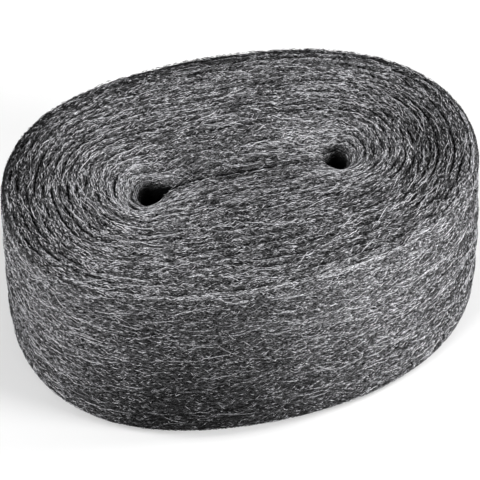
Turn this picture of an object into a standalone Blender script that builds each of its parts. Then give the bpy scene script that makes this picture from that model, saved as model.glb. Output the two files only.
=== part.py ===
"""A roll of steel wool, standing on its end.

One long ribbon of steel fibres is wound into a flattened spiral. Its innermost turn closes round
two small eyes and the narrow slit between them, and its tail lies flat on the outside.
Everything is in metres, with +Z up: the roll stands on z = 0, centred on the origin.
"""

import math

import bpy

# The ribbon and the way it is wound.
RIBBON_WIDTH = 0.100        # from edge to edge, which is the roll's height
LAYER_PITCH = 0.00413       # thickness of one turn, at the two ends of the oval
TURN_COUNT = 17
TAIL_THICKNESS = 0.0010     # of the loose end, teased out thin
TAIL_RUN = 100.0            # degrees over which the last turn thins down to that
TAIL_ANGLE = 150.0          # degrees round the roll from +X to the tail, at the back

# The roll in plan.
EYE_SPACING = 0.095         # between the centres of the two eyes
EYE_RADIUS = 0.0058
SLIT_GAP = 0.0010           # between the two faces of the innermost turn
LEFT_NECK = 0.015           # length over which the -X eye narrows into the slit
RIGHT_NECK = 0.007          # the same for the +X eye, which is rounder
PINCH_REACH = 0.012         # distance from the slit at which the turns stop closing in on it
EYE_DRIFT = 0.0016          # how far the pair of eyes lies towards +X
SLIT_DRIFT = -0.0016        # how far the line from eye to eye lies towards the back
SLIT_TILT = 0.0016          # how much further back the +X eye is, and further forward the -X one
SLIT_BOW = 0.0034           # how far the slit bends towards the back between the eyes
ROLL_DEPTH = 0.173          # from front to back at the top, which is the oval's short side
INNER_ROUNDNESS = 0.12      # 0 gives straight sides to a turn and 1 an ellipse
OUTER_ROUNDNESS = 0.64
BELLY_SHIFT = 0.0045        # how far the widest place lies towards -X
FRONT_FULLNESS = 0.039      # share by which the front stands out further than the back

# The roll from the side.
FOOT_SPREAD = 0.0043        # how much further the wall stands out at the foot than at the top
WALL_BULGE = 0.0010
FOLD_HEIGHT = 0.0008        # of the long low folds that run round the wall
FOLD_SPACING = 0.020
FOLD_DRIFT = 0.0030         # how far a fold wanders up and down on its way round
FOLD_MARGIN = 0.012         # from the roll's two ends, over which the folds fade out
TOP_ROUND = 0.0055
FOOT_ROUND = 0.0070

# The two ends.
TOP_GROOVE = 0.0016         # depth of the groove between two turns, on top
FOOT_GROOVE = 0.0009        # the same underneath, where the roll's weight has flattened it
VALLEY_DEPTH = 0.0085       # of the hollow round the slit and the eyes
VALLEY_REACH = 0.0130
FOOT_LIP = 0.0020           # how far the innermost turn is drawn up underneath
CREST_WAVE = 0.0009         # how unevenly the turns' edges stand up, on top
CREST_WAVES = ((2.0, 2.4, 0.6), (3.0, -1.7, 0.4))   # humps in a turn, lag of the next, share
LAND_START = 0.24           # share of a turn's thickness at which its groove ends

# The fibres, seen together.
STEEL_COLOUR = (0.125, 0.125, 0.131, 1.0)
STEEL_METALLIC = 0.6
STEEL_ROUGHNESS = 0.55

# How finely the roll is drawn.
STATIONS_PER_TURN = 44
EDGE_SHARES = (0.975, 0.94)         # heights of the wall's rows on its upper rounded edge
FOOT_SHARE = 0.03                   # height of the lowest row
FOLD_ROWS = 20                      # rows from there up to the rounded edge, even and close
EDGE_START = math.radians(45.0)     # slope at which a rounded edge meets the end of the roll
EDGE_ROOM = 0.8                     # most that a rounded edge takes of the last turn's thickness
SMOOTH_ANGLE = math.radians(40.0)

WOUND_DEPTH = TURN_COUNT * LAYER_PITCH
OUTER_RADIUS = EYE_RADIUS + WOUND_DEPTH
STATION_COUNT = TURN_COUNT * STATIONS_PER_TURN
ACROSS = (0.0, LAND_START, 1.0 - LAND_START)    # places across a turn, up to the next one's
EVEN_STEP = (EDGE_SHARES[-1] - FOOT_SHARE) / FOLD_ROWS
WALL_SHARES = EDGE_SHARES + tuple(FOOT_SHARE + EVEN_STEP * row for row in reversed(range(FOLD_ROWS)))


def clear_scene():
    """Take away whatever the file opens with."""
    for existing in list(bpy.data.objects):
        bpy.data.objects.remove(existing, do_unlink=True)


def blend(low, high, share):
    return low + (high - low) * share


def ease(share):
    """Rise smoothly from 0 to 1 as the share does, and stay there."""
    share = min(max(share, 0.0), 1.0)
    return share * share * (3.0 - 2.0 * share)


def outwardness(radius):
    """0 on the innermost turn, 1 on the outermost."""
    return (radius - EYE_RADIUS) / WOUND_DEPTH


def plan_point(angle, radius):
    """Where a point of the roll lies in plan.

    A turn is a circle whose centre slides from eye to eye as the angle goes round. It slides
    quickly on the inner turns, which so get straight sides, and evenly on the outer ones, which
    are nearly elliptical. Between the eyes the innermost turns are pinched shut. The eyes and the
    slit lie a little off the roll's middle, and the turns pass that on, less and less outwards.
    """
    outward = outwardness(radius)
    cosine = math.cos(angle)
    sine = math.sin(angle)
    roundness = blend(INNER_ROUNDNESS, OUTER_ROUNDNESS, outward)
    slide = cosine / math.hypot(cosine, roundness * sine)
    x = 0.5 * EYE_SPACING * slide + radius * cosine - BELLY_SHIFT * outward * sine ** 2

    neck = RIGHT_NECK if cosine > 0.0 else LEFT_NECK
    from_eye = 0.5 * EYE_SPACING * (1.0 - abs(slide))
    pinch = (EYE_RADIUS - 0.5 * SLIT_GAP) * ease(from_eye / neck)
    pinch *= math.exp(-(radius - EYE_RADIUS) / PINCH_REACH)
    belly = blend(1.0, 0.5 * ROLL_DEPTH / OUTER_RADIUS, outward)
    y = sine * (radius * belly - pinch) * (1.0 - FRONT_FULLNESS * sine * outward)
    inward = max(1.0 - outward, 0.0)
    slit_line = SLIT_DRIFT + SLIT_TILT * slide + SLIT_BOW * (1.0 - slide ** 2)
    return x + EYE_DRIFT * inward, y + slit_line * inward


def turn_angle(station):
    """The angle round the roll of a station along the ribbon."""
    return math.radians(TAIL_ANGLE) + 2.0 * math.pi * station / STATIONS_PER_TURN


def inner_radius(station):
    """The radius of the ribbon's inner face, which lies on the turn inside it."""
    turns_inside = max(station / STATIONS_PER_TURN - 1.0, 0.0)
    return EYE_RADIUS + LAYER_PITCH * turns_inside


def thickness(station):
    """The ribbon starts from nothing, is one pitch thick from then on, and ends in a thin tail."""
    turns = station / STATIONS_PER_TURN
    to_tail = (TURN_COUNT - turns) * 360.0 / TAIL_RUN
    return min(LAYER_PITCH * min(turns, 1.0), blend(TAIL_THICKNESS, LAYER_PITCH, ease(to_tail)))


def top_height(station, radius):
    """The height of a turn's upper edge, which dips towards the slit and waves a little."""
    angle = turn_angle(station)
    turns = station / STATIONS_PER_TURN
    valley = VALLEY_DEPTH * math.exp(-((radius - EYE_RADIUS) / VALLEY_REACH) ** 2)
    wave = sum(share * math.sin(humps * angle + lag * turns) for humps, lag, share in CREST_WAVES)
    return RIBBON_WIDTH - valley - 0.5 * CREST_WAVE * (1.0 + wave)


def foot_height(radius):
    """The roll stands flat, with only the innermost turns drawn up."""
    return FOOT_LIP * math.exp(-((radius - EYE_RADIUS) / LAYER_PITCH) ** 2)


def corner_inset(depth, corner):
    """How far a rounded edge lies inside the wall, at a depth below its end."""
    short = max(corner - depth, 0.0)
    return corner - math.sqrt(corner * corner - short * short)


def wall_spread(height):
    """How far the wall stands out at a height, against its line at the top."""
    share = height / RIBBON_WIDTH
    return FOOT_SPREAD * (1.0 - share) + WALL_BULGE * math.sin(math.pi * share)


def wall_fold(angle, height):
    """How far the wall's folds stand out at a place, half of them outwards and half inwards."""
    phase = (height - FOLD_DRIFT * math.sin(3.0 * angle)) / FOLD_SPACING
    fade = ease(min(height, RIBBON_WIDTH - height) / FOLD_MARGIN)
    return 0.5 * FOLD_HEIGHT * math.cos(2.0 * math.pi * phase) * fade


def foot_radius(radius):
    """Underneath, the turns are spread to follow the wall."""
    return radius + FOOT_SPREAD * outwardness(radius)


def edge_rounds(station):
    """The radii of the upper and lower outer edges, less where the tail is thin."""
    wall = thickness(station)
    room = EDGE_ROOM * wall / (1.0 - math.cos(EDGE_START))
    share = wall / LAYER_PITCH
    return min(TOP_ROUND * share, room), min(FOOT_ROUND * share, room)


class RollMesh:
    """The roll's points and faces, with each point made once and found again by its place."""

    def __init__(self):
        self.points = []
        self.faces = []
        self.numbers = {}

    def point(self, key, make):
        if key not in self.numbers:
            self.numbers[key] = len(self.points)
            self.points.append(make())
        return self.numbers[key]

    def face(self, corners):
        """Add a face, without the corners that fall together where the ribbon starts."""
        kept = [corner for place, corner in enumerate(corners) if corner != corners[place - 1]]
        if len(kept) > 2:
            self.faces.append(kept)


def end_point(mesh, end, station, place):
    """The number of the point at a station and a place across the ribbon, on one end of the roll.

    The outer edge of a turn is the inner edge of the next one, and the ribbon starts as a point.
    """
    if place == len(ACROSS) and station + STATIONS_PER_TURN <= STATION_COUNT:
        return end_point(mesh, end, station + STATIONS_PER_TURN, 0)
    if station == 0:
        return end_point(mesh, end, STATIONS_PER_TURN, 0)

    def make():
        top = end == "top"
        radius = inner_radius(station)
        outer = radius + thickness(station)
        height_lost = 0.0
        if place > 0 and station + STATIONS_PER_TURN > STATION_COUNT:
            corner = edge_rounds(station)[0 if top else 1]
            outer -= corner * (1.0 - math.cos(EDGE_START))
            height_lost = corner * (1.0 - math.sin(EDGE_START))
        if place < len(ACROSS):
            radius = blend(radius, outer, ACROSS[place])
            height_lost = (TOP_GROOVE if top else FOOT_GROOVE) if place == 0 else 0.0
        else:
            radius = outer
        if top:
            x, y = plan_point(turn_angle(station), radius)
            return x, y, top_height(station, radius) - height_lost
        x, y = plan_point(turn_angle(station), foot_radius(radius))
        return x, y, foot_height(radius) + height_lost

    return mesh.point((end, station, place), make)


def add_ends(mesh):
    """The spiral strips on top and underneath."""
    for station in range(STATION_COUNT):
        for place in range(len(ACROSS)):
            inner_edge = [(station, place), (station + 1, place)]
            outer_edge = [(station + 1, place + 1), (station, place + 1)]
            corners = inner_edge + outer_edge
            mesh.face([end_point(mesh, "foot", *corner) for corner in corners])
            mesh.face([end_point(mesh, "top", *corner) for corner in reversed(corners)])


def add_wall(mesh, columns, shares):
    """A band of faces from the top to the foot, closed round a ring of columns.

    The shares give the heights of the rows between the two ends, and there are none in the eyes,
    whose wall is upright.
    """
    rings = []
    for station, place in columns:
        top = end_point(mesh, "top", station, place)
        foot = end_point(mesh, "foot", station, place)
        ring = [top]
        for share in shares:
            height = blend(mesh.points[foot][2], mesh.points[top][2], share)
            key = ("wall", station, place, share)
            ring.append(mesh.point(key, lambda: wall_point(station, place, height)))
        rings.append(ring + [foot])
    for number, ring in enumerate(rings):
        following = rings[(number + 1) % len(rings)]
        for row in range(len(ring) - 1):
            mesh.face([ring[row], ring[row + 1], following[row + 1], following[row]])


def wall_point(station, place, height):
    """A point on the outer wall, or on the small step at the end of the tail."""
    top_corner, foot_corner = edge_rounds(station)
    inner = inner_radius(station)
    outer = inner + thickness(station)
    outer -= corner_inset(RIBBON_WIDTH - height, top_corner) + corner_inset(height, foot_corner)
    share = 1.0 if place == len(ACROSS) else ACROSS[place]
    angle = turn_angle(station)
    outer += wall_fold(angle, height)
    x, y = plan_point(angle, blend(inner, outer, share) + wall_spread(height))
    return x, y, height


def centred(points):
    """The points moved in plan, so that the middle of their box is on the Z axis."""
    middle = [0.5 * (min(values) + max(values)) for values in list(zip(*points))[:2]]
    return [(x - middle[0], y - middle[1], z) for x, y, z in points]


def build_roll():
    """The whole roll as one closed skin."""
    mesh = RollMesh()
    add_ends(mesh)
    first_outer = STATION_COUNT - STATIONS_PER_TURN + 1
    outside = [(station, len(ACROSS)) for station in range(first_outer, STATION_COUNT + 1)]
    tail_step = [(STATION_COUNT, place) for place in reversed(range(len(ACROSS)))]
    add_wall(mesh, outside + tail_step, WALL_SHARES)
    inside = [(station, 0) for station in range(STATIONS_PER_TURN, 0, -1)]
    add_wall(mesh, inside, ())

    data = bpy.data.meshes.new("steel_wool_roll")
    data.from_pydata(centred(mesh.points), [], mesh.faces)
    data.shade_smooth()
    data.set_sharp_from_angle(angle=SMOOTH_ANGLE)
    roll = bpy.data.objects.new("steel_wool_roll", data)
    bpy.context.scene.collection.objects.link(roll)
    return roll


def steel_wool_material():
    """Dull grey steel fibres, with a faint cold cast."""
    material = bpy.data.materials.new("steel wool")
    material.use_nodes = True
    shader = material.node_tree.nodes["Principled BSDF"]
    shader.inputs["Base Color"].default_value = STEEL_COLOUR
    shader.inputs["Metallic"].default_value = STEEL_METALLIC
    shader.inputs["Roughness"].default_value = STEEL_ROUGHNESS
    return material


clear_scene()
build_roll().data.materials.append(steel_wool_material())
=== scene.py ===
import math

import bpy
import numpy as np
from mathutils import Matrix, Vector
from numpy import concatenate as join


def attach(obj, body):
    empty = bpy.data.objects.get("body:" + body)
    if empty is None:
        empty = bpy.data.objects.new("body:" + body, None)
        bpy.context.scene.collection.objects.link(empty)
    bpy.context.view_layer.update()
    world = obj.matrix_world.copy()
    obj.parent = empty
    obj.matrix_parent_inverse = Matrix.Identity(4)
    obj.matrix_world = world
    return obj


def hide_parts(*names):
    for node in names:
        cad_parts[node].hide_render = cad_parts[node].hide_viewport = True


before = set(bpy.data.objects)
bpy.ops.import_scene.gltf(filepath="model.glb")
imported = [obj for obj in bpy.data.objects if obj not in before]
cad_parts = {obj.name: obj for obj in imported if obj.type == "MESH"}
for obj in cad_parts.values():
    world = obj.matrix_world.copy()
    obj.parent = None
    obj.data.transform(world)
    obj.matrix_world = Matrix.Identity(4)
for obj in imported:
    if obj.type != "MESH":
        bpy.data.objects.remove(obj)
scene = bpy.context.scene
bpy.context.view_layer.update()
print("frame loaded")

# The wound ribbon, in metres and degrees: the solid's sizes, but for a thinner end of the tail and
# a slit whose -X end lies a little nearer the back.
roll = {
    "ribbonWidth": 0.100, "pitch": 0.00413, "turns": 17,
    "tailThickness": 0.0007, "tailRun": 100.0, "tailAngle": 150.0,
    "eyeSpacing": 0.095, "eyeRadius": 0.0058, "slitGap": 0.0010,
    "leftNeck": 0.015, "rightNeck": 0.007, "pinchReach": 0.012,
    "eyeDrift": 0.0016, "slitDrift": -0.0008, "slitTilt": 0.0008, "slitBow": 0.0034,
    "depth": 0.173, "innerRoundness": 0.12, "outerRoundness": 0.64,
    "bellyShift": 0.0045, "frontFullness": 0.039, "footSpread": 0.0043, "wallBulge": 0.0010,
    "topRound": 0.0055, "footRound": 0.0070, "edgeStart": 45.0,
    "foldHeight": 0.0008, "foldSpacing": 0.020, "foldDrift": 0.0030, "foldWaves": 3.0, "foldMargin": 0.012,
    "topGroove": 0.0016, "footGroove": 0.0010, "groovePower": 6, "footLip": 0.0020,
    "funnelDepth": 0.0045, "funnelReach": 0.0034, "funnelSide": (0.82, 0.14),
    "valleyDepth": 0.0085, "valleyReach": 0.0130,
    "crestWave": 0.0009, "crestWaves": ((2.0, 2.4, 0.6), (3.0, -1.7, 0.4)),
}
# how many places the roll's box and the ribbon's length are worked out from
measuring = {"angles": 1441, "heights": 60, "lengths": 6001}
scatterBy = {"column": 127.1, "row": 311.7, "seed": 74.7, "size": 43758.5453}
ribbonWidth, pitch, turnCount = roll["ribbonWidth"], roll["pitch"], roll["turns"]
eyeRadius = roll["eyeRadius"]
woundDepth = turnCount * pitch
outerRadius = eyeRadius + woundDepth
tailStart = math.radians(roll["tailAngle"])
fullTurn = 2.0 * math.pi


def ease(share):
    # 3 s^2 - 2 s^3 of the share held between 0 and 1
    share = np.clip(share, 0.0, 1.0)
    return share * share * (3.0 - 2.0 * share)


def blend(low, high, share):
    # low + (high - low) * share
    return low + (high - low) * share


def ramp(value, limits):
    # eased from 0 to 1 over a length after a start
    start, length = limits
    return ease((value - start) / length)


def hill(distance, reach, power=2):
    # e ^ -(distance / reach)^power
    return np.exp(-(distance / reach) ** power)


def scatter(column, row, seed):
    # a steady value from 0 to 1 for each whole-numbered place: the fraction of a large sine
    phase = column * scatterBy["column"] + row * scatterBy["row"] + seed * scatterBy["seed"]
    mixed = np.sin(phase) * scatterBy["size"]
    return mixed - np.floor(mixed)


def latticeNoise(along, across, seed):
    # smooth random hills from -1 to 1: scattered values at whole numbers, eased between them
    left, low = np.floor(along), np.floor(across)
    toRight, toTop = ease(along - left), ease(across - low)
    lower = blend(scatter(left, low, seed), scatter(left + 1.0, low, seed), toRight)
    upper = blend(scatter(left, low + 1.0, seed), scatter(left + 1.0, low + 1.0, seed), toRight)
    return 2.0 * blend(lower, upper, toTop) - 1.0


def slideShare(angle, radius):
    # from 1 at the +X eye to -1 at the -X one: cos / sqrt(cos^2 + (k sin)^2), with k from flat to round
    outward = (radius - eyeRadius) / woundDepth
    roundness = blend(roll["innerRoundness"], roll["outerRoundness"], outward)
    return np.cos(angle) / np.hypot(np.cos(angle), roundness * np.sin(angle))


def planPoint(angle, radius):
    # a circle of the radius whose centre slides from eye to eye: x = half spacing * slide + radius * cos
    # y = sin * (radius * belly - pinch), with the pinch closing the slit between the eyes
    # and the line of the slit, tilted and bowed, is passed on to the turns, less and less outwards
    outward = (radius - eyeRadius) / woundDepth
    cosine, sine = np.cos(angle), np.sin(angle)
    slide = slideShare(angle, radius)
    x = 0.5 * roll["eyeSpacing"] * slide + radius * cosine - roll["bellyShift"] * outward * sine ** 2
    neck = np.where(cosine > 0.0, roll["rightNeck"], roll["leftNeck"])
    fromEye = 0.5 * roll["eyeSpacing"] * (1.0 - np.abs(slide))
    pinch = (eyeRadius - 0.5 * roll["slitGap"]) * ease(fromEye / neck)
    pinch *= np.exp(-(radius - eyeRadius) / roll["pinchReach"])
    belly = blend(1.0, 0.5 * roll["depth"] / outerRadius, outward)
    y = sine * (radius * belly - pinch) * (1.0 - roll["frontFullness"] * sine * outward)
    inward = np.maximum(1.0 - outward, 0.0)
    slitLine = roll["slitDrift"] + roll["slitTilt"] * slide + roll["slitBow"] * (1.0 - slide ** 2)
    return x + roll["eyeDrift"] * inward, y + slitLine * inward


def innerFace(turns):
    # radius of the ribbon's inner face: round the eyes at first, and a pitch further out each turn
    return eyeRadius + pitch * np.maximum(turns - 1.0, 0.0)


def thickness(turns):
    # from nothing up to one pitch over the first turn, and down to the thin tail over the last stretch
    toTail = (turnCount - turns) * 360.0 / roll["tailRun"]
    thinning = blend(roll["tailThickness"], pitch, ease(toTail))
    return np.minimum(pitch * np.clip(turns, 0.0, 1.0), thinning)


def angleAt(turns):
    # radians round the roll, so many turns along the ribbon
    return tailStart + fullTurn * turns


def lastTurn(angle):
    # how many turns along the ribbon the outside is at this angle
    return turnCount - 1.0 + np.mod((angle - tailStart) / fullTurn, 1.0)


def outerFace(angle):
    # the radius of the outside at this angle, without its lean and folds
    outside = lastTurn(angle)
    return innerFace(outside) + thickness(outside)


def rounding(depth, corner):
    # quarter circle: R - sqrt(R^2 - (R - depth)^2) where the depth is less than R
    short = np.maximum(corner - depth, 0.0)
    return corner - np.sqrt(np.maximum(corner * corner - short * short, 0.0))


def wallSpread(height):
    # a straight lean outwards to the foot, and half a sine of bulge
    share = height / ribbonWidth
    return roll["footSpread"] * (1.0 - share) + roll["wallBulge"] * np.sin(math.pi * share)


def wallFold(turns, height):
    # long low folds round the wall: half height * cos(2 pi (height - drift sin 3 angle) / spacing)
    angle = angleAt(turns)
    phase = (height - roll["foldDrift"] * np.sin(roll["foldWaves"] * angle)) / roll["foldSpacing"]
    fade = ease(np.minimum(height, ribbonWidth - height) / roll["foldMargin"])
    return 0.5 * roll["foldHeight"] * np.cos(fullTurn * phase) * fade


def wallRadius(turns, height):
    # the last turn's outer face, less the rounded edges at top and foot, plus its lean and folds
    wall = thickness(turns)
    share = wall / pitch
    inset = rounding(ribbonWidth - height, roll["topRound"] * share)
    inset += rounding(height, roll["footRound"] * share)
    return innerFace(turns) + wall - inset + wallSpread(height) + wallFold(turns, height)


def findMiddle():
    # the middle of the wall's box, which the solid has on the Z axis
    angle = np.linspace(0.0, fullTurn, measuring["angles"])[None, :]
    height = np.linspace(0.0, ribbonWidth, measuring["heights"])[:, None]
    x, y = planPoint(angle, wallRadius(lastTurn(angle), height))
    return 0.5 * (x.min() + x.max()), 0.5 * (y.min() + y.max())


middleX, middleY = findMiddle()


def eyeSide(angle, radius, limits):
    # 1 round the two eyes and 0 between them: a ramp on how far the slide has gone
    return ramp(np.abs(slideShare(angle, radius)), limits)


def grooveShape(across):
    # cos^6 across the ribbon: 1 at both its edges and next to nothing on its crest
    return np.abs(np.cos(math.pi * across)) ** roll["groovePower"]


def topHeight(angle, radius, across, outer, openness):
    # ribbon width - Gaussian valley round the slit - funnels at the eyes - slow waves
    # - the deeper of the groove and the rounded outer edge
    fromSlit = radius - eyeRadius
    valley = roll["valleyDepth"] * hill(fromSlit, roll["valleyReach"])
    funnel = eyeSide(angle, radius, roll["funnelSide"]) * hill(fromSlit, roll["funnelReach"])
    valley += roll["funnelDepth"] * funnel
    wave = 0.0
    for humps, lag, share in roll["crestWaves"]:
        wave += share * np.sin(humps * angle + lag * (fromSlit / pitch))
    groove = roll["topGroove"] * openness * grooveShape(across)
    edge = rounding(outer - radius, roll["topRound"])
    return ribbonWidth - valley - 0.5 * roll["crestWave"] * (1.0 + wave) - np.maximum(groove, edge)


def footHeight(radius, across, outer):
    # flat lands with a groove between turns, a lip at the slit and the rounded outer edge
    lip = roll["footLip"] * hill(radius - eyeRadius, pitch)
    edge = rounding(outer - radius, roll["footRound"])
    return lip + np.maximum(roll["footGroove"] * grooveShape(across), edge)


def footRadius(radius):
    # radius + foot spread * share of the wound depth
    return radius + roll["footSpread"] * (radius - eyeRadius) / woundDepth


def arcTable():
    # length of the ribbon's middle line from its start, against turns along it
    turns = np.linspace(0.0, turnCount, measuring["lengths"])
    x, y = planPoint(angleAt(turns), innerFace(turns) + 0.5 * thickness(turns))
    steps = np.hypot(np.diff(x), np.diff(y))
    return turns, join([[0.0], np.cumsum(steps)])


ribbonTurns, ribbonLengths = arcTable()


def lengthAt(turns):
    # metres along the ribbon, read off the table
    return np.interp(turns, ribbonTurns, ribbonLengths)


def turnsAt(length):
    # the same table read the other way
    return np.interp(length, ribbonLengths, ribbonTurns)


lastTurnStart = lengthAt(turnCount - 1.0)

# The compressed mass of fibres under the loose ones, in metres. Its winding map has a band for each part.
mass = {
    "stations": 220, "shares": (0.0, 0.10, 0.27, 0.5, 0.73, 0.90, 1.0), "rows": 70, "inset": 0.0004,
    "topLump": 0.0006, "wallLump": 0.0005, "lumpLength": 0.014, "lumpWidth": 0.0022,
    "wallLumpWidth": 0.010, "topSeed": 3.0, "wallSeed": 11.0, "footFade": 0.012, "rimFade": 0.010,
    "fineAlong": 3.1, "fineAcross": 2.3, "fineShare": 0.5, "fineSeed": 5.0,
    "warp": 0.0011, "warpLength": 0.017, "warpSeeds": (51.0, 57.0),
    "grooveRun": 0.007, "grooveLeast": 0.1, "grooveMiddle": 0.55, "grooveSwing": 0.9, "grooveSeed": 71.0,
    "wallBand": 1.0, "eyeBand": 2.0, "footBand": 3.0, "eyeLength": 0.2,
}


def warped(x, y, radius):
    # the turns pushed a little out of line by slow hills of noise, less and less towards the wall,
    # with the roll's middle brought to the Z axis
    amount = mass["warp"] * (1.0 - ease((radius - eyeRadius) / woundDepth) ** 2)
    across, along = x / mass["warpLength"], y / mass["warpLength"]
    shiftX, shiftY = (amount * latticeNoise(across, along, seed) for seed in mass["warpSeeds"])
    return x + shiftX - middleX, y + shiftY - middleY


def lumpHeight(length, across, width, seed):
    # long low hills along the ribbon, and half as many again at a third of their size
    broad = latticeNoise(length / mass["lumpLength"], across / width, seed)
    fineAlong = mass["fineAlong"] * length / mass["lumpLength"]
    fineAcross = mass["fineAcross"] * across / width
    fine = latticeNoise(fineAlong, fineAcross, seed + mass["fineSeed"])
    return (broad + mass["fineShare"] * fine) / (1.0 + mass["fineShare"])


def grooveDepth(turns, across):
    # how open the groove between two turns is: noise along the ribbon, the same on both sides
    seam = np.where(across > 0.5, turns + 1.0, turns)
    hills = latticeNoise(lengthAt(seam - 1.0) / mass["grooveRun"], 0.0, mass["grooveSeed"])
    opened = ease(mass["grooveMiddle"] + mass["grooveSwing"] * hills)
    return blend(mass["grooveLeast"], 1.0, opened)


def endPlace(turns, across, corner):
    # the angle, the radius and the outside's radius; the last turn stops short by
    # corner * (1 - cos 45), where the wall takes over its rounded edge
    angle = angleAt(turns)
    room = thickness(turns)
    edge = corner * (1.0 - math.cos(math.radians(roll["edgeStart"]))) * room / pitch
    inset = np.where(turns > turnCount - 1.0, edge, 0.0)
    return angle, innerFace(turns) + across * (room - inset), outerFace(angle)


def topSurface(turns, across):
    # the spiral end, for any turns along the ribbon and share across its thickness
    angle, radius, outer = endPlace(turns, across, roll["topRound"])
    x, y = warped(*planPoint(angle, radius), radius)
    lump = lumpHeight(lengthAt(turns), radius, mass["lumpWidth"], mass["topSeed"])
    z = topHeight(angle, radius, across, outer, grooveDepth(turns, across))
    return np.stack([x, y, z + mass["topLump"] * lump - mass["inset"]], -1)


def footSurface(turns, across):
    # the end that it stands on, for the same two
    angle, radius, outer = endPlace(turns, across, roll["footRound"])
    x, y = warped(*planPoint(angle, footRadius(radius)), radius)
    return np.stack([x, y, footHeight(radius, across, outer)], -1)


def wallSurface(turns, height):
    # the outer wall, for turns along the last turn and a height, with its long low lumps
    radius = wallRadius(turns, height)
    away = ease(height / mass["footFade"]) * ease((ribbonWidth - height) / mass["rimFade"])
    lump = lumpHeight(lengthAt(turns), height, mass["wallLumpWidth"], mass["wallSeed"])
    radius += (mass["wallLump"] * lump - mass["inset"]) * away
    x, y = planPoint(angleAt(turns), radius)
    return np.stack([x - middleX, y - middleY, height + 0.0 * x], -1)


def makeMesh(name, points, quads, triangles):
    # quads and triangles are rows of point numbers, put in as flat arrays
    mesh = bpy.data.meshes.new(name)
    corners = join([quads.ravel(), triangles.ravel()]).astype(np.int32)
    counts = join([np.full(len(quads), 4), np.full(len(triangles), 3)]).astype(np.int32)
    starts = join([[0], np.cumsum(counts)[:-1]]).astype(np.int32)
    mesh.vertices.add(len(points))
    mesh.vertices.foreach_set("co", points.astype(np.float32).ravel())
    mesh.loops.add(len(corners))
    mesh.loops.foreach_set("vertex_index", corners)
    mesh.polygons.add(len(counts))
    mesh.polygons.foreach_set("loop_start", starts)
    mesh.polygons.foreach_set("loop_total", counts)
    mesh.update(calc_edges=True)
    mesh.shade_smooth()
    piece = bpy.data.objects.new(name, mesh)
    scene.collection.objects.link(piece)
    return piece


def addMap(piece, name, places):
    # a UV map from one place for each corner
    layer = piece.data.uv_layers.new(name=name)
    layer.uv.foreach_set("vector", places.astype(np.float32).ravel())


def addValues(piece, name, values):
    # one number for each point
    layer = piece.data.attributes.new(name, "FLOAT", "POINT")
    layer.data.foreach_set("value", values.astype(np.float32))


# Painted light and shade on the wool, and its strands' random tone, in shares of full brightness. Reaches
# and places are in metres from the slit or rim, or in shares of the wound depth, and angles in degrees.
paintedLightAndTone = {
    "groove": 0.70, "eye": 0.02, "funnel": 0.99, "rightFunnel": 0.0027, "leftFunnel": 0.0015,
    "funnelLean": 0.90, "funnelPower": 6,
    "rightLip": 0.72, "leftLip": 0.90, "lipPlace": 0.0085, "lipReach": 0.0085, "lipSide": (0.4, 0.4),
    "rightEnd": 0.66, "leftEnd": 0.50, "rightEndPlace": 0.65, "leftEndPlace": 0.88, "endReach": 0.22,
    "endTurn": -9.0, "endPower": 6, "smoothRim": 0.85, "smoothPlace": (0.8, 0.15),
    "front": 0.20, "back": 0.26, "slit": 0.16, "slitReach": 0.0030,
    "frontRight": 0.40, "frontRightAngle": -66.0, "frontRightPlace": (0.75, 0.2),
    "bank": 0.26, "bankPlace": 0.0110, "bankReach": 0.0090, "bankMiddle": 0.5, "sideRamp": 2.0,
    "rim": 0.70, "rimReach": 0.0030, "rimTurn": 30.0, "backRim": 0.82, "backRimReach": 0.0080,
    "underRim": 0.16, "underReach": 0.010, "foot": 0.19, "frontFoot": 0.54, "frontFootAngle": -108.0,
    "corners": ((0.88, -72.0), (0.74, -143.0), (0.16, -122.0), (-0.66, -103.0), (-0.50, 182.0),
                (-0.36, -8.0)), "cornerPower": 8,
    "strand": 0.08, "strandLength": 0.010, "strandWidth": 0.0008, "endSeed": 61.0, "wallSeed": 67.0,
}


def towards(angle, middle, power):
    # cos^power of the angle from a direction, and 0 on the roll's far side
    return np.maximum(np.cos(angle - math.radians(middle)), 0.0) ** power


def bySide(angle, name):
    # one value on the +X side and another on the -X side
    return np.where(np.cos(angle) > 0.0, paintedLightAndTone["right" + name], paintedLightAndTone["left" + name])


def cornerPaintedLight(angle):
    # painted light round the front left and right, painted shade between: 1 + corner * cos^8 of the angle
    # from it
    shade = 1.0
    for corner, middle in paintedLightAndTone["corners"]:
        shade += corner * towards(angle, middle, paintedLightAndTone["cornerPower"])
    return shade


def strandShade(length, across, seed):
    # narrow lighter and darker strands along the winding
    hills = latticeNoise(length / paintedLightAndTone["strandLength"], across / paintedLightAndTone["strandWidth"], seed)
    return 1.0 + paintedLightAndTone["strand"] * hills


def rimPaintedHighlight(fromRim, angle):
    # a narrow painted highlight on the edge, from full on the front right rim to nothing on the back left
    # one
    facing = np.maximum(-np.sin(angle - math.radians(paintedLightAndTone["rimTurn"])), 0.0)
    return paintedLightAndTone["rim"] * hill(fromRim, paintedLightAndTone["rimReach"]) * facing


def backRimPaintedShade(fromRim, toBack):
    # painted shade along the back edge: 1 - dark * hill * ramp to the back
    toBack = ease(paintedLightAndTone["sideRamp"] * toBack)
    return 1.0 - paintedLightAndTone["backRim"] * hill(fromRim, paintedLightAndTone["backRimReach"]) * toBack


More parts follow.
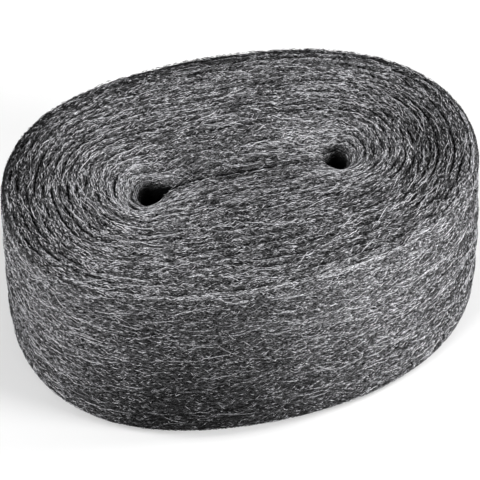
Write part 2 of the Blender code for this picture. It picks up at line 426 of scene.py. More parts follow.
def endPaintedLightAndTone(turns, share):
    # full brightness times the strands' random tone and one factor for each place: painted shade in the
    # grooves, the eyes' funnels and the slit, at the oval's ends and along its front and back, and painted
    # light on the rim, the lips, the front right turns and the turns behind the slit
    angle = angleAt(turns)
    radius = innerFace(turns) + share * pitch
    fromSlit, fromRim = radius - eyeRadius, outerFace(angle) - radius
    outward = np.clip(fromSlit / woundDepth, 0.0, 1.0)
    toFront, toBack = np.maximum(-np.sin(angle), 0.0), np.maximum(np.sin(angle), 0.0)
    shade = strandShade(lengthAt(turns), radius, paintedLightAndTone["endSeed"])
    smooth = paintedLightAndTone["smoothRim"] * ramp(outward, paintedLightAndTone["smoothPlace"])
    smooth *= ease(paintedLightAndTone["sideRamp"] * np.cos(angle))
    groove = paintedLightAndTone["groove"] * (1.0 - smooth) * grooveDepth(turns, share)
    shade *= 1.0 - groove * grooveShape(share)
    reach = bySide(angle, "Funnel") * (1.0 + paintedLightAndTone["funnelLean"] * np.sin(angle))
    funnel = paintedLightAndTone["funnel"] * eyeSide(angle, radius, roll["funnelSide"])
    shade *= 1.0 - funnel * hill(fromSlit, reach, paintedLightAndTone["funnelPower"])
    lip = bySide(angle, "Lip") * hill(fromSlit - paintedLightAndTone["lipPlace"], paintedLightAndTone["lipReach"])
    shade *= 1.0 + lip * eyeSide(angle, radius, paintedLightAndTone["lipSide"])
    # painted shade on the outer turns round both ends of the oval
    endPaintedShade = bySide(angle, "End") * hill(outward - bySide(angle, "EndPlace"), paintedLightAndTone["endReach"])
    alongEnds = np.cos(angle - math.radians(paintedLightAndTone["endTurn"])) ** paintedLightAndTone["endPower"]
    shade *= 1.0 - endPaintedShade * alongEnds
    shade *= 1.0 - paintedLightAndTone["front"] * toFront ** 2
    shade *= 1.0 - paintedLightAndTone["back"] * toBack ** 2
    shade *= 1.0 - paintedLightAndTone["slit"] * hill(fromSlit, paintedLightAndTone["slitReach"])
    # painted light on the turns behind the slit, more towards the +X eye
    bank = paintedLightAndTone["bank"] * hill(fromSlit - paintedLightAndTone["bankPlace"], paintedLightAndTone["bankReach"]) * toBack
    bankSide = ease(paintedLightAndTone["bankMiddle"] + paintedLightAndTone["sideRamp"] * slideShare(angle, radius))
    shade *= 1.0 + bank * bankSide
    # painted light on the outer turns at the front right
    frontRight = paintedLightAndTone["frontRight"] * towards(angle, paintedLightAndTone["frontRightAngle"], paintedLightAndTone["cornerPower"])
    shade *= 1.0 + frontRight * ramp(outward, paintedLightAndTone["frontRightPlace"])
    return shade * (1.0 + rimPaintedHighlight(fromRim, angle)) * backRimPaintedShade(fromRim, toBack)


def wallPaintedLightAndTone(turns, height):
    # the strands' random tone times painted shade under the rim, along the back rim and towards the foot,
    # and
    #     # painted light on the front rim, and painted light and shade round the corners
    angle = angleAt(turns)
    below = ribbonWidth - height
    toFront = towards(angle, paintedLightAndTone["frontFootAngle"], 2)
    towardsFoot = 1.0 - ease(height / ribbonWidth)
    shade = strandShade(lengthAt(turns), height, paintedLightAndTone["wallSeed"])
    shade *= 1.0 - (paintedLightAndTone["foot"] + paintedLightAndTone["frontFoot"] * toFront) * towardsFoot
    shade = shade * cornerPaintedLight(angle) * backRimPaintedShade(below, np.maximum(np.sin(angle), 0.0))
    shade *= 1.0 - paintedLightAndTone["underRim"] * ease(below / paintedLightAndTone["underReach"])
    return shade * (1.0 + rimPaintedHighlight(below, angle))


# The flat map that the wool's finish can be baked on, in metres.
sheet = {
    "side": 0.530, "endMiddle": (0.130, 0.095), "endStep": 0.190, "stripsLeft": 0.265,
    "stripMargin": 0.004, "stripLength": 0.245, "stripStep": 0.104, "wallStrips": 3,
}


def cutIntoStrips(places, firstStrip):
    # faces by corner by (along, height), cut every strip length and laid above each other
    strip = np.floor(places[:, :1, 0] / sheet["stripLength"])
    along = sheet["stripsLeft"] + sheet["stripMargin"] + places[..., 0] - strip * sheet["stripLength"]
    return np.stack([along, places[..., 1] + (strip + firstStrip) * sheet["stripStep"]], -1)


def bakeMap(points, endCells, wall, eyes):
    # in shares of the sheet's side: both ends from above, one above the other on the left, and the wall
    # and the eyes' wall cut into strips on the right
    endMap = points[endCells][..., :2] + sheet["endMiddle"]
    endMap[len(endCells) // 2:, :, 1] += sheet["endStep"]
    wallMap = cutIntoStrips(wall - [lastTurnStart, mass["wallBand"]], 0)
    eyeMap = cutIntoStrips(eyes - [0.0, mass["eyeBand"]], sheet["wallStrips"])
    return join([endMap, wallMap, eyeMap]) / sheet["side"]


def cells(*corners):
    # one row of four corners for each cell, from the grid as seen at each corner
    return np.stack(corners, 2).reshape(-1, 4, *corners[0].shape[2:])


def stripCells(grid):
    # the cells of a grid that is open on all sides
    return cells(grid[:-1, :-1], grid[1:, :-1], grid[1:, 1:], grid[:-1, 1:])


def bandCells(grid, following):
    # the cells between each column and the one that follows it
    return cells(grid[:, :-1], grid[:, 1:], following[:, 1:], following[:, :-1])


def spiralGrid():
    # turns along the ribbon by share across it, and each point's number: a turn's outer edge is the
    # next one's inner edge, and the ribbon starts as one point of the first turn's edge
    perTurn = mass["stations"]
    station = np.arange(turnCount * perTurn + 1)
    turns = (station / perTurn)[:, None] + 0.0 * np.array(mass["shares"])
    numbers = np.arange(turns.size).reshape(turns.shape)
    shared = station + perTurn < len(station)
    numbers[shared, -1] = numbers[station[shared] + perTurn, 0]
    numbers[0, :] = numbers[perTurn, 0]
    return turns, numbers


def wallColumns():
    # the station and share of each column: once round the outside, then in across the end of the tail
    perTurn, across = mass["stations"], len(mass["shares"]) - 1
    last = turnCount * perTurn
    stations = join([np.arange(last - perTurn, last) + 1, np.full(across, last)])
    return stations, join([np.full(perTurn, across), np.arange(across)[::-1]])


def wallPlaces(stations, places, highest, lowest):
    # rows evenly between the ends; on the tail's step they go from the turn below to the full wall
    rowShare = np.arange(1, mass["rows"]) / mass["rows"]
    height = blend(highest, lowest, rowShare[None, :])
    turns = (stations / mass["stations"])[:, None]
    x, y = planPoint(angleAt(turns), innerFace(turns) + wallSpread(height))
    below = np.stack([x - middleX, y - middleY, height], -1)
    share = np.array(mass["shares"])[places][:, None, None]
    return turns, height, blend(below, wallSurface(turns, height), share)


def closedBand(along, across, closing):
    # places by (along, across) round a closed band, whose last column is followed by the closing one
    places = np.stack([along, across], -1)
    following = np.roll(places, -1, 0)
    following[-1, :, 0] = closing
    return bandCells(places, following)


def ribbonPlaces(turns, share, wallTurns, wallHeights):
    # each corner's metres along and across the ribbon, on an end, the wall and the eyes' wall
    end = stripCells(np.stack([lengthAt(turns), innerFace(turns) + share * pitch], -1))
    wallAlong = lengthAt(wallTurns) + 0.0 * wallHeights
    wallEnd = wallAlong[0] + ribbonLengths[-1] - lastTurnStart
    wall = closedBand(wallAlong, mass["wallBand"] + wallHeights, wallEnd)
    eyeAlong = np.linspace(0.0, mass["eyeLength"], mass["stations"])[:, None] + np.zeros((1, 2))
    eyeHeights = mass["eyeBand"] + np.array([ribbonWidth, 0.0]) + 0.0 * eyeAlong
    return end, wall, closedBand(eyeAlong, eyeHeights, eyeAlong[-1] + eyeAlong[1])


def dropRepeats(quads, maps):
    # a quad that names a point twice becomes a triangle, and one with fewer corners goes
    whole = (quads != np.roll(quads, 1, 1)).all(1)
    bent, bentMaps = quads[~whole], maps[~whole]
    keep = bent != np.roll(bent, 1, 1)
    three = keep.sum(1) == 3
    triangles = bent[three][keep[three]].reshape(-1, 3)
    triangleMaps = bentMaps[three][keep[three]].reshape(-1, 4)
    return quads[whole], triangles, join([maps[whole].reshape(-1, 4), triangleMaps])


def buildMass():
    # one closed skin: spiral strips on both ends, the wall with the tail's step, and the eyes' wall
    turns, numbers = spiralGrid()
    share = np.array(mass["shares"])[None, :]
    ends = [surface(turns, share).reshape(-1, 3) for surface in (topSurface, footSurface)]
    stations, places = wallColumns()
    rim = numbers[stations, places]
    highest, lowest = (end[rim][:, 2:] for end in ends)
    wallTurns, height, wallPoints = wallPlaces(stations, places, highest, lowest)
    points = join(ends + [wallPoints.reshape(-1, 3)])

    wallNumbers = 2 * numbers.size + np.arange(height.size).reshape(height.shape)
    wallGrid = join([rim[:, None], wallNumbers, numbers.size + rim[:, None]], 1)
    eyeRing = numbers[np.arange(mass["stations"], 0, -1), 0]
    eyeGrid = np.stack([eyeRing, numbers.size + eyeRing], 1)
    strip = stripCells(numbers)
    endCells = join([strip[:, ::-1], numbers.size + strip])
    bands = [bandCells(grid, np.roll(grid, -1, 0)) for grid in (wallGrid, eyeGrid)]
    used, quads = np.unique(join([endCells] + bands), return_inverse=True)

    wallHeights = join([highest, height, lowest], 1)
    end, wall, eyes = ribbonPlaces(turns, share, wallTurns, wallHeights)
    windingMap = join([end[:, ::-1], end + [0.0, mass["footBand"]], wall, eyes])
    bothMaps = join([windingMap, bakeMap(points, endCells, wall, eyes)], -1)
    quads, triangles, cornerMaps = dropRepeats(quads.reshape(-1, 4), bothMaps)
    piece = makeMesh("wool_mass", points[used], quads, triangles)
    addMap(piece, "windingMap", cornerMaps[:, :2])
    addMap(piece, "OFBake", cornerMaps[:, 2:])
    # painted light and shade on both ends, and painted shade on the eyes' wall
    crest = endPaintedLightAndTone(turns, share + 0.0 * turns)
    crest[:mass["stations"] + 1, 0] = paintedLightAndTone["eye"]
    shade = [crest.ravel(), crest.ravel(), wallPaintedLightAndTone(wallTurns, height).ravel()]
    addValues(piece, "packToneAndPaintedLight", join(shade)[used])
    return piece


# Loose fibres that follow the winding: long ones are three-sided tubes that taper to both ends,
# and short slivers are two points with a three-sided ring between them.
fibre = {
    "sides": 3, "firstCorner": 90.0, "tipShare": 0.4, "flatness": 0.7, "sliverStations": 3,
    "kinkShare": 0.5, "lengthLean": 1.8, "widthLean": 1.5, "mostStretch": 1.6, "slopeStep": 1e-4,
    "firstLength": 0.02, "firstTurns": 0.1, "tailGap": 0.001, "seamGap": 0.0001,
    "fromFoot": 0.0010, "fromRim": 0.0006, "mapMargin": 0.1,
    "tipMaps": (((0.0, 0.1), (0.0, 0.5), (0.1, 0.3)), ((1.0, 0.1), (1.0, 0.5), (0.9, 0.3))),
}


def unit(vectors):
    # each vector over its length
    return vectors / np.linalg.norm(vectors, axis=-1, keepdims=True)


def ringAround(beside, above, reach):
    # corners at even angles: reach * (cos * beside + flatness * sin * above)
    turn = math.radians(fibre["firstCorner"]) + fullTurn * np.arange(fibre["sides"]) / fibre["sides"]
    cosine, sine = np.cos(turn)[:, None], fibre["flatness"] * np.sin(turn)[:, None]
    return reach[..., None, None] * (cosine * beside[..., None, :] + sine * above[..., None, :])


def gridCells(count, inside):
    # each fibre has a small square of its own on the map: along it one way, round it the other
    grid, margin = math.ceil(math.sqrt(count)), fibre["mapMargin"]
    corner = np.stack([np.arange(count) % grid, np.arange(count) // grid], -1)
    return (corner[:, None, :] + margin + (1.0 - 2.0 * margin) * inside.reshape(1, -1, 2)) / grid


def sideMap(*corners):
    # a triangle for each side, from the share along the sliver and the shares round it at each corner
    return np.stack([np.stack([along + 0.0 * around, around], -1) for along, around in corners], 1)


def buildSlivers(name, paths, outward, widths, tones):
    # paths is sliver by first tip, middle and last tip by xyz; the ring is half a width round the middle
    count, sides = len(paths), fibre["sides"]
    tangent = unit(paths[:, 2] - paths[:, 0])
    beside = unit(np.cross(tangent, outward[:, 1]))
    ring = paths[:, 1:2] + ringAround(beside, np.cross(beside, tangent), 0.5 * widths)
    points = join([paths[:, :1], ring, paths[:, 2:]], 1).reshape(-1, 3)
    side = np.arange(sides)
    after = (side + 1) % sides
    toFirst = np.stack([0 * side, 1 + side, 1 + after], -1)
    toLast = np.stack([1 + side, 0 * side + sides + 1, 1 + after], -1)
    one = join([toFirst, toLast])
    base = (np.arange(count) * (sides + 2))[:, None, None]
    piece = makeMesh(name, points, np.zeros((0, 4), int), (base + one[None]).reshape(-1, 3))
    low, middle, high = side / sides, (side + 0.5) / sides, (side + 1.0) / sides
    maps = [sideMap((0.0, middle), (0.5, low), (0.5, high)), sideMap((0.5, low), (1.0, middle), (0.5, high))]
    addMap(piece, "OFBake", gridCells(count, join(maps)).reshape(-1, 2))
    addValues(piece, "fibreToneAndPaintedLight", tones[:, [0, 1, 1, 1, 2]].ravel())
    return piece


def buildFibres(name, paths, outward, widths, tones):
    # paths is fibre by ring by xyz; each ring is three corners round the path, width * taper apart,
    # and the taper is 1 - (1 - tip share) * |s|^3 for s from -1 to 1 along the fibre
    count, rings = paths.shape[:2]
    sides = fibre["sides"]
    tangent = unit(np.gradient(paths, axis=1))
    beside = unit(np.cross(tangent, outward))
    taper = blend(1.0, fibre["tipShare"], np.abs(np.linspace(-1.0, 1.0, rings)) ** 3)
    reach = 0.5 * widths[:, None] * taper[None, :]
    points = paths[:, :, None, :] + ringAround(beside, np.cross(beside, tangent), reach)
    ring, side = np.meshgrid(np.arange(rings - 1), np.arange(sides), indexing="ij")
    here, after = ring * sides + side, ring * sides + (side + 1) % sides
    one = cells(here, here + sides, after + sides, after)
    lastRing = (rings - 1) * sides
    ends = np.array([[0, 1, 2], [lastRing + 2, lastRing + 1, lastRing]])
    base = (np.arange(count) * rings * sides)[:, None, None]
    quads, triangles = (base + one[None]).reshape(-1, 4), (base + ends[None]).reshape(-1, 3)
    piece = makeMesh(name, points.reshape(-1, 3), quads, triangles)
    alongShare, roundShare = cells(ring, ring + 1, ring + 1, ring), cells(side, side, side + 1, side + 1)
    inside = np.stack([alongShare / (rings - 1), roundShare / sides], -1)
    maps = [gridCells(count, places).reshape(-1, 2) for places in (inside, np.array(fibre["tipMaps"]))]
    addMap(piece, "OFBake", join(maps))
    addValues(piece, "fibreToneAndPaintedLight", np.repeat(tones.ravel(), sides))
    return piece


def startFibres(name):
    # a kind, its random numbers, its fibres' lengths and how far each ring is along and across the
    # winding, on a slanted line with a bow and kinks
    kind = fibreKinds[name]
    rng = np.random.default_rng(kind["seed"])
    count, rings, curl = kind["count"], kind["rings"], kind["curl"]
    lengths = spread(rng, count, kind["length"], fibre["lengthLean"])
    place = np.linspace(-0.5, 0.5, rings)[None, :]
    angle = np.radians(kind["slant"]) * rng.standard_normal((count, 1))
    bow = curl * rng.standard_normal((count, 1)) * (4.0 * place * place - 1.0)
    kinks = fibre["kinkShare"] * curl * rng.standard_normal((count, rings))
    along = lengths[:, None] * place * np.cos(angle)
    across = lengths[:, None] * (place * np.sin(angle) + bow + kinks)
    return kind, rng, lengths, place, along, across


# Each kind of fibre, in metres and degrees, and how many of them go into one piece.
fibreKinds = {
    "top_short": {"count": 52500, "perPiece": 26500, "rings": 3, "seed": 11, "length": (0.0019, 0.0052),
        "width": (0.00031, 0.00050), "slant": 14.0, "curl": 0.06, "lift": 0.0005, "sink": 0.0004},
    "top_long": {"count": 2200, "perPiece": 6000, "rings": 6, "seed": 12, "length": (0.008, 0.020),
        "width": (0.00026, 0.00044), "slant": 12.0, "curl": 0.04, "lift": 0.0007, "sink": 0.0004},
    "slit": {"count": 420, "perPiece": 420, "rings": 3, "seed": 41, "length": (0.0030, 0.0080),
        "width": (0.00036, 0.00058), "slant": 24.0, "curl": 0.07, "lift": 0.0007, "sink": 0.0004,
        "tone": 0.55, "reach": 0.86},
    "wall_short": {"count": 62500, "perPiece": 31500, "rings": 3, "seed": 23, "length": (0.0019, 0.0052),
        "width": (0.00031, 0.00050), "slant": 26.0, "curl": 0.10, "lift": 0.00045, "sink": 0.0004,
        "overEdge": 0.0008},
    "wall_long": {"count": 3000, "perPiece": 6000, "rings": 6, "seed": 24, "length": (0.008, 0.022),
        "width": (0.00026, 0.00044), "slant": 13.0, "curl": 0.05, "lift": 0.0005, "sink": 0.0004,
        "overEdge": 0.0008},
    "foot_short": {"count": 6500, "perPiece": 7000, "rings": 3, "seed": 37, "length": (0.0040, 0.0090),
        "width": (0.00060, 0.00095), "slant": 20.0, "curl": 0.07, "lift": 0.0001, "sink": 0.0002,
        "inset": 0.0003},
}
toneBy = {"lean": 3.15, "sorted": 0.92, "thinning": 0.45, "leastShade": 0.02, "leastPower": 0.6}


def tonesOf(bright, shade):
    # dimmer * bright ^ ((lean + 1) / fewer - 1), where dimmer * fewer is the painted light and shade and
    #     # bright is each fibre's random tone: the mean over the fibres is shade / (lean + 1), and where it
    #     is
    #     # darker the bright ones are both fewer and dimmer
    fewer = np.maximum(shade, toneBy["leastShade"]) ** toneBy["thinning"]
    power = (toneBy["lean"] + 1.0) / fewer - 1.0
    return shade / fewer * bright ** np.maximum(power, toneBy["leastPower"])


def spread(rng, count, limits, lean=1.0):
    # low + (high - low) * random^lean
    return blend(limits[0], limits[1], rng.random(count) ** lean)


def liftOf(rng, kind, bright, place):
    # a fibre's middle stands clear and its ends are tucked in: lift - sink * (2 s)^2
    # the lift is partly random and partly by the brightness, so that bright fibres lie on dark ones
    height = kind["lift"] * blend(rng.random(bright.shape), bright, toneBy["sorted"])
    return height - kind["sink"] * 4.0 * place * place - kind.get("inset", 0.0)


def splitFibres(name, paths, normals, widths, tones):
    # one piece for every so many fibres
    build = buildSlivers if paths.shape[1] == fibre["sliverStations"] else buildFibres
    perPiece = fibreKinds[name]["perPiece"]
    pieces = []
    for number, first in enumerate(range(0, len(paths), perPiece)):
        part = slice(first, first + perPiece)
        pieceName = f"{name}_fibres_{number + 1}"
        pieces.append(build(pieceName, paths[part], normals[part], widths[part], tones[part]))
    return pieces


def unstretched(paths, lengths, kind):
    # which fibres keep their length where the surface bends sharply
    steps = np.linalg.norm(np.diff(paths, axis=1), axis=2)
    return (steps < fibre["mostStretch"] * lengths[:, None] / (kind["rings"] - 1)).all(1)


def layEndFibres(name, surface, up):
    # along the spiral of an end: a length along the ribbon, and shares of a turn across it
    kind, rng, lengths, place, along, across = startFibres(name)
    count = kind["count"]
    start = spread(rng, count, (fibre["firstLength"], ribbonLengths[-1]))[:, None]
    turns = turnsAt(start + along)
    share = rng.random((count, 1)) + across / pitch
    turns += np.floor(share)
    share -= np.floor(share)
    widths = spread(rng, count, kind["width"], fibre["widthLean"])
    bright = rng.random((count, 1))
    tones = tonesOf(bright, endPaintedLightAndTone(turns, share))
    lift = liftOf(rng, kind, bright, place)
    roomy = thickness(turns[:, 0]) > pitch * rng.random(count)
    last = turnCount - fibre["tailGap"]
    good = ((turns > fibre["firstTurns"]) & (turns < last)).all(1) & roomy
    paths = surface(turns[good], share[good])
    close = unstretched(paths, lengths[good], kind)
    normals = np.broadcast_to([0.0, 0.0, up], paths[close].shape)
    paths = paths[close] + normals * lift[good][close][..., None]
    return splitFibres(name, paths, normals, widths[good][close], tones[good][close])


def laySlitFibres(name):
    # across the slit between the eyes: from places on its two edges, along it and a little to either side
    kind, rng, lengths, place, along, across = startFibres(name)
    count = kind["count"]
    turns = rng.random((count, 1))
    bright = rng.random((count, 1))
    lift = liftOf(rng, kind, bright, place)
    slide = slideShare(angleAt(turns), eyeRadius)
    onSlit = (np.abs(slide) < kind["reach"])[:, 0]
    paths = topSurface(turns, 0.0 * turns) + np.stack([along, across, lift], -1)
    normals = np.broadcast_to([0.0, 0.0, 1.0], paths.shape)
    widths = spread(rng, count, kind["width"], fibre["widthLean"])
    tones = tonesOf(bright, kind["tone"]) + 0.0 * place
    return splitFibres(name, paths[onSlit], normals[onSlit], widths[onSlit], tones[onSlit])


def layWallFibres(name):
    # round the wall: a length along the last turn, and a height
    kind, rng, lengths, place, along, across = startFibres(name)
    count = kind["count"]
    start = spread(rng, count, (lastTurnStart, ribbonLengths[-1]))[:, None]
    low, high = fibre["fromFoot"], ribbonWidth - fibre["fromRim"]
    height = np.clip(spread(rng, count, (low, high))[:, None] + across, low, high)
    gap = fibre["seamGap"]
    turns = np.clip(turnsAt(start + along), turnCount - (1.0 - gap), turnCount - gap)
    paths = wallSurface(turns, height)
    step = fibre["slopeStep"]
    around = wallSurface(turns + step, height) - wallSurface(turns - step, height)
    rise = wallSurface(turns, height + step) - wallSurface(turns, height - step)
    normals = unit(np.cross(around, rise))
    highest = topSurface(turns, 1.0 + 0.0 * turns)[..., 2]
    close = unstretched(paths, lengths, kind) & (height < highest + kind["overEdge"]).all(1)
    bright = rng.random((count, 1))
    paths = paths + normals * liftOf(rng, kind, bright, place)[..., None]
    widths = spread(rng, count, kind["width"], fibre["widthLean"])
    tones = tonesOf(bright, wallPaintedLightAndTone(turns, height))
    return splitFibres(name, paths[close], normals[close], widths[close], tones[close])


# What each material is made with.
ripple = {"bendScale": 90.0, "detail": 1.0, "layers": ((1.0, 0.0), (2.3, 40.0)), "steep": (0.42, 0.62)}
clouds = {"scale": 28.0, "detail": 3.0, "swing": 4.0}
# the packed wool's near-black dark is painted shade in the gaps between the fibres
packed = {
    "dark": (0.001, 0.001, 0.0011, 1.0), "mid": (0.46, 0.46, 0.473, 1.0), "metallic": 0.0, "specular": 0.05,
    "streakLength": 0.0026, "streakWidth": 0.00055, "slants": ((0.30, 0.0), (-0.26, 9.0)),
    "streakPower": 2.5, "tarnish": 0.10, "roughness": (0.50, 0.80), "bump": 0.0010,
}
# the loose fibres' near-black dark is partly their random tone and partly painted shade on fibres lying deep
loose = {
    "dark": (0.004, 0.004, 0.0042, 1.0), "bright": (0.945, 0.945, 0.98, 1.0), "metallic": 0.3,
    "specular": 0.12, "grainScale": 1700.0, "grain": (-1.9, 4.4), "tarnish": 0.11,
    "roughness": (0.35, 0.60), "bump": 0.0001,
}


def feed(tree, node, inputs):
    # each input linked from a socket, or given a plain value
    for label, value in inputs.items():
        if isinstance(value, bpy.types.NodeSocket):
            tree.links.new(value, node.inputs[label])
        else:
            node.inputs[label].default_value = value


def addNode(tree, kind, inputs, **settings):
    # a node with its settings made and its inputs fed
    node = tree.nodes.new("ShaderNode" + kind)
    for name, value in settings.items():
        setattr(node, name, value)
    feed(tree, node, inputs)
    return node


def calc(tree, operation, *values):
    # one sum, from sockets or plain numbers
    return addNode(tree, "Math", dict(enumerate(values)), operation=operation).outputs[0]


def newGroup(name, inputs, output):
    # a shader node group with one output; an input with no value is a vector
    tree = bpy.data.node_groups.new(name, "ShaderNodeTree")
    for label, value in inputs.items():
        kind = "NodeSocketVector" if value is None else "NodeSocketFloat"
        socket = tree.interface.new_socket(name=label, in_out="INPUT", socket_type=kind)
        if value is not None:
            socket.default_value = value
    tree.interface.new_socket(name=output, in_out="OUTPUT", socket_type="NodeSocketFloat")
    given, result = tree.nodes.new("NodeGroupInput"), tree.nodes.new("NodeGroupOutput")
    return tree, given.outputs, result.inputs[output]


def makeStreakGroup():
    # noise stretched along the first direction: coordinates divided by a length and a width,
    # bent by a slow noise, at two scales, with the contrast raised round the middle
    inputs = {"Place": None, "Length": 0.01, "Width": 0.0008, "Waviness": 0.0012, "Slant": 0.0, "Shift": 0.0}
    tree, given, result = newGroup("fibreStreaks", inputs, "Streaks")
    noise = {"Scale": ripple["bendScale"], "Detail": ripple["detail"], "Vector": given["Place"]}
    bend = calc(tree, "SUBTRACT", addNode(tree, "TexNoise", noise).outputs["Fac"], 0.5)
    bend = calc(tree, "MULTIPLY", bend, given["Waviness"])
    parts = addNode(tree, "SeparateXYZ", {0: given["Place"]}).outputs
    lean = calc(tree, "MULTIPLY", parts["X"], given["Slant"])
    across = calc(tree, "ADD", calc(tree, "ADD", parts["Y"], bend), lean)
    along = calc(tree, "DIVIDE", parts["X"], given["Length"])
    across = calc(tree, "DIVIDE", across, given["Width"])
    layers = []
    for scale, shift in ripple["layers"]:
        place = {"X": calc(tree, "MULTIPLY", along, scale),
                 "Y": calc(tree, "MULTIPLY", across, scale),
                 "Z": calc(tree, "ADD", given["Shift"], shift)}
        joined = addNode(tree, "CombineXYZ", place).outputs[0]
        noise = {"Scale": 1.0, "Detail": ripple["detail"], "Vector": joined}
        layers.append(addNode(tree, "TexNoise", noise).outputs["Fac"])
    both = calc(tree, "MULTIPLY", calc(tree, "ADD", *layers), 0.5)
    low, high = ripple["steep"]
    steep = addNode(tree, "MapRange", {"From Min": low, "From Max": high, "Value": both})
    tree.links.new(steep.outputs[0], result)
    return tree


def makeTarnishGroup():
    # broad cloudy patches in object space, from 1 - amount to 1 + amount
    tree, given, result = newGroup("tarnish", {"Place": None, "Amount": 0.15}, "Factor")
    noise = {"Scale": clouds["scale"], "Detail": clouds["detail"], "Vector": given["Place"]}
    swing = calc(tree, "SUBTRACT", addNode(tree, "TexNoise", noise).outputs["Fac"], 0.5)
    swing = calc(tree, "MULTIPLY", swing, clouds["swing"])
    factor = calc(tree, "ADD", calc(tree, "MULTIPLY", swing, given["Amount"]), 1.0)
    tree.links.new(factor, result)
    return tree


streakGroup = makeStreakGroup()
tarnishGroup = makeTarnishGroup()


def mixColours(tree, factor, low, high):
    # low at 0 and high at 1
    inputs = {"Factor": factor, "A": low, "B": high}
    return addNode(tree, "Mix", inputs, data_type="RGBA").outputs["Result"]


def spreadOut(tree, value, low, high):
    # 0 to 1 spread from low to high
    return addNode(tree, "MapRange", {"To Min": low, "To Max": high, "Value": value}).outputs[0]


def newMaterial(name):
    # a node material, its nodes and its shader
    material = bpy.data.materials.new(name)
    material.use_nodes = True
    return material, material.node_tree, material.node_tree.nodes["Principled BSDF"]


def finishShader(tree, shader, finish, colour, relief):
    # the colour times its tarnish, and roughness and bump that both follow the same relief
    place = addNode(tree, "TexCoord", {}).outputs["Object"]
    tarnish = addNode(tree, "Group", {"Place": place, "Amount": finish["tarnish"]}, node_tree=tarnishGroup)
    clouded = addNode(tree, "VectorMath", {0: colour, "Scale": tarnish.outputs["Factor"]}, operation="SCALE")
    bump = addNode(tree, "Bump", {"Distance": finish["bump"], "Height": relief})
    feed(tree, shader, {
        "Base Color": clouded.outputs[0], "Roughness": spreadOut(tree, relief, *finish["roughness"]),
        "Metallic": finish["metallic"], "Specular IOR Level": finish["specular"], "Normal": bump.outputs[0],
    })


def makeMassMaterial():
    # the brighter of two slanted layers of streaks, to a power, times each point's painted light and shade
    # and
    #     # random strand tone
    material, tree, shader = newMaterial("packedWool")
    place = addNode(tree, "UVMap", {}, uv_map="windingMap").outputs["UV"]
    layers = []
    for slant, shift in packed["slants"]:
        inputs = {"Place": place, "Length": packed["streakLength"], "Width": packed["streakWidth"],
                  "Slant": slant, "Shift": shift}
        layers.append(addNode(tree, "Group", inputs, node_tree=streakGroup).outputs["Streaks"])
    streaks = calc(tree, "POWER", calc(tree, "MAXIMUM", *layers), packed["streakPower"])
    crest = addNode(tree, "Attribute", {}, attribute_name="packToneAndPaintedLight").outputs["Fac"]
    streaks = calc(tree, "MULTIPLY", streaks, crest)
    colour = mixColours(tree, streaks, packed["dark"], packed["mid"])
    finishShader(tree, shader, packed, colour, streaks)
    return material


def makeFibreMaterial():
    # from dark to bright by each fibre's random tone and the painted light and shade of its place, times a
    #     # fine grain
    material, tree, shader = newMaterial("steelFibre")
    tone = addNode(tree, "Attribute", {}, attribute_name="fibreToneAndPaintedLight").outputs["Fac"]
    place = addNode(tree, "TexCoord", {}).outputs["Object"]
    grain = addNode(tree, "TexNoise", {"Scale": loose["grainScale"], "Vector": place}).outputs["Fac"]
    mixed = calc(tree, "MULTIPLY", tone, spreadOut(tree, grain, *loose["grain"]))
    colour = mixColours(tree, mixed, loose["dark"], loose["bright"])
    finishShader(tree, shader, loose, colour, grain)
    return material


wool = buildMass()
wool.data.materials.append(makeMassMaterial())
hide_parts("steel_wool_roll")
print("packed wool built:", len(wool.data.polygons), "faces")

fibreMaterial = makeFibreMaterial()
fibrePieces = layEndFibres("top_short", topSurface, 1.0)
fibrePieces += layEndFibres("top_long", topSurface, 1.0)
fibrePieces += laySlitFibres("slit")
fibrePieces += layWallFibres("wall_short")
fibrePieces += layWallFibres("wall_long")
fibrePieces += layEndFibres("foot_short", footSurface, -1.0)
for piece in fibrePieces:
    piece.data.materials.append(fibreMaterial)
for piece in [wool] + fibrePieces:
    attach(piece, "root")
    print(piece.name, "triangles:", len(piece.data.loops) - 2 * len(piece.data.polygons))

# Studio: floor, world, lamps and camera
studio = {
    "floorHalf": 0.8, "floorDrop": 0.0001, "floorSeen": 0.97, "floorUnseen": 0.04,
    "floorRoughness": 0.9, "worldLight": 0.18,
    "lampDistance": 1.5, "lampSize": 0.6,
    "lamps": {
        "frontLeftLamp": (-148.0, 30.0, 13.0), "backLeftLamp": (165.0, 22.0, 11.5),
        "lowRightLamp": (-32.0, 16.0, 23.0), "highRightLamp": (0.0, 30.0, 15.0),
    },
}
lens = {
    "azimuth": -11.84, "elevation": 48.60, "roll": -1.34, "distance": 1.0,
    "imageSize": 480.0, "focalPixels": 1927.0, "targetX": 243.8, "targetY": 232.4, "sensor": 36.0,
}


def buildFloor():
    # a square just under z = 0, pale to the camera and dark to all else, so that it lights the wall little
    half = studio["floorHalf"]
    corners = np.array([[-half, -half], [half, -half], [half, half], [-half, half]])
    points = np.column_stack([corners, np.full(4, -studio["floorDrop"])])
    floor = makeMesh("studio_floor", points, np.array([[0, 1, 2, 3]]), np.zeros((0, 3), int))
    material, tree, shader = newMaterial("studioFloor")
    path = addNode(tree, "LightPath", {}).outputs["Is Camera Ray"]
    grey = [(value, value, value, 1.0) for value in (studio["floorUnseen"], studio["floorSeen"])]
    feed(tree, shader, {"Base Color": mixColours(tree, path, *grey), "Specular IOR Level": 0.0,
                        "Roughness": studio["floorRoughness"]})
    floor.data.materials.append(material)


def buildWorld():
    # even light from all round, and plain white where the camera sees past the floor
    world = bpy.data.worlds.new("studioWorld")
    scene.world = world
    world.use_nodes = True
    tree = world.node_tree
    path = addNode(tree, "LightPath", {}).outputs["Is Camera Ray"]
    strength = spreadOut(tree, path, studio["worldLight"], 1.0)
    feed(tree, tree.nodes["Background"], {"Strength": strength, "Color": (1.0, 1.0, 1.0, 1.0)})


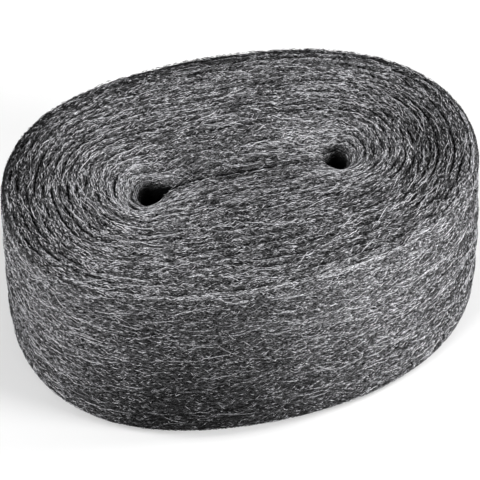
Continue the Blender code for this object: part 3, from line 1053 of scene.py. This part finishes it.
def addLamp(name, azimuth, elevation, power):
    # a round lamp facing the roll, at so many degrees round from +X and up
    data = bpy.data.lights.new(name, "AREA")
    data.shape = "DISK"
    data.size = studio["lampSize"]
    data.energy = power
    lamp = bpy.data.objects.new(name, data)
    scene.collection.objects.link(lamp)
    around, rise = math.radians(azimuth), math.radians(elevation)
    aim = Vector((0.0, 0.0, 0.5 * ribbonWidth))
    away = Vector((math.cos(rise) * math.cos(around), math.cos(rise) * math.sin(around), math.sin(rise)))
    lamp.location = aim + studio["lampDistance"] * away
    lamp.rotation_euler = away.to_track_quat("Z", "Y").to_euler()


def buildCamera():
    # the target seen at its pixel: the aim is turned by the pixel offsets over the focal length
    azimuth, elevation, tilt = (math.radians(lens[key]) for key in ("azimuth", "elevation", "roll"))
    back = Vector((math.sin(azimuth) * math.cos(elevation), -math.cos(azimuth) * math.cos(elevation),
                   math.sin(elevation)))
    right = (-back).cross(Vector((0.0, 0.0, 1.0))).normalized()
    up = right.cross(-back)
    target = Vector((0.0, 0.0, 0.5 * ribbonWidth))
    place = target + lens["distance"] * back
    newRight = right * math.cos(tilt) + up * math.sin(tilt)
    newUp = up * math.cos(tilt) - right * math.sin(tilt)
    perPixel = lens["distance"] / lens["focalPixels"]
    middle = 0.5 * lens["imageSize"]
    aim = target - newRight * (lens["targetX"] - middle) * perPixel
    aim = aim - newUp * (middle - lens["targetY"]) * perPixel
    back = (place - aim).normalized()
    newRight = newUp.cross(back).normalized()
    newUp = back.cross(newRight)
    data = bpy.data.cameras.new("photoCamera")
    data.sensor_width = lens["sensor"]
    data.lens = lens["focalPixels"] * lens["sensor"] / lens["imageSize"]
    camera = bpy.data.objects.new("photoCamera", data)
    scene.collection.objects.link(camera)
    facing = Matrix((newRight, newUp, back)).transposed().to_4x4()
    camera.matrix_world = Matrix.Translation(place) @ facing
    scene.camera = camera


buildFloor()
buildWorld()
for name, (azimuth, elevation, power) in studio["lamps"].items():
    addLamp(name, azimuth, elevation, power)
buildCamera()
scene.view_settings.view_transform = "Standard"
print("studio set")
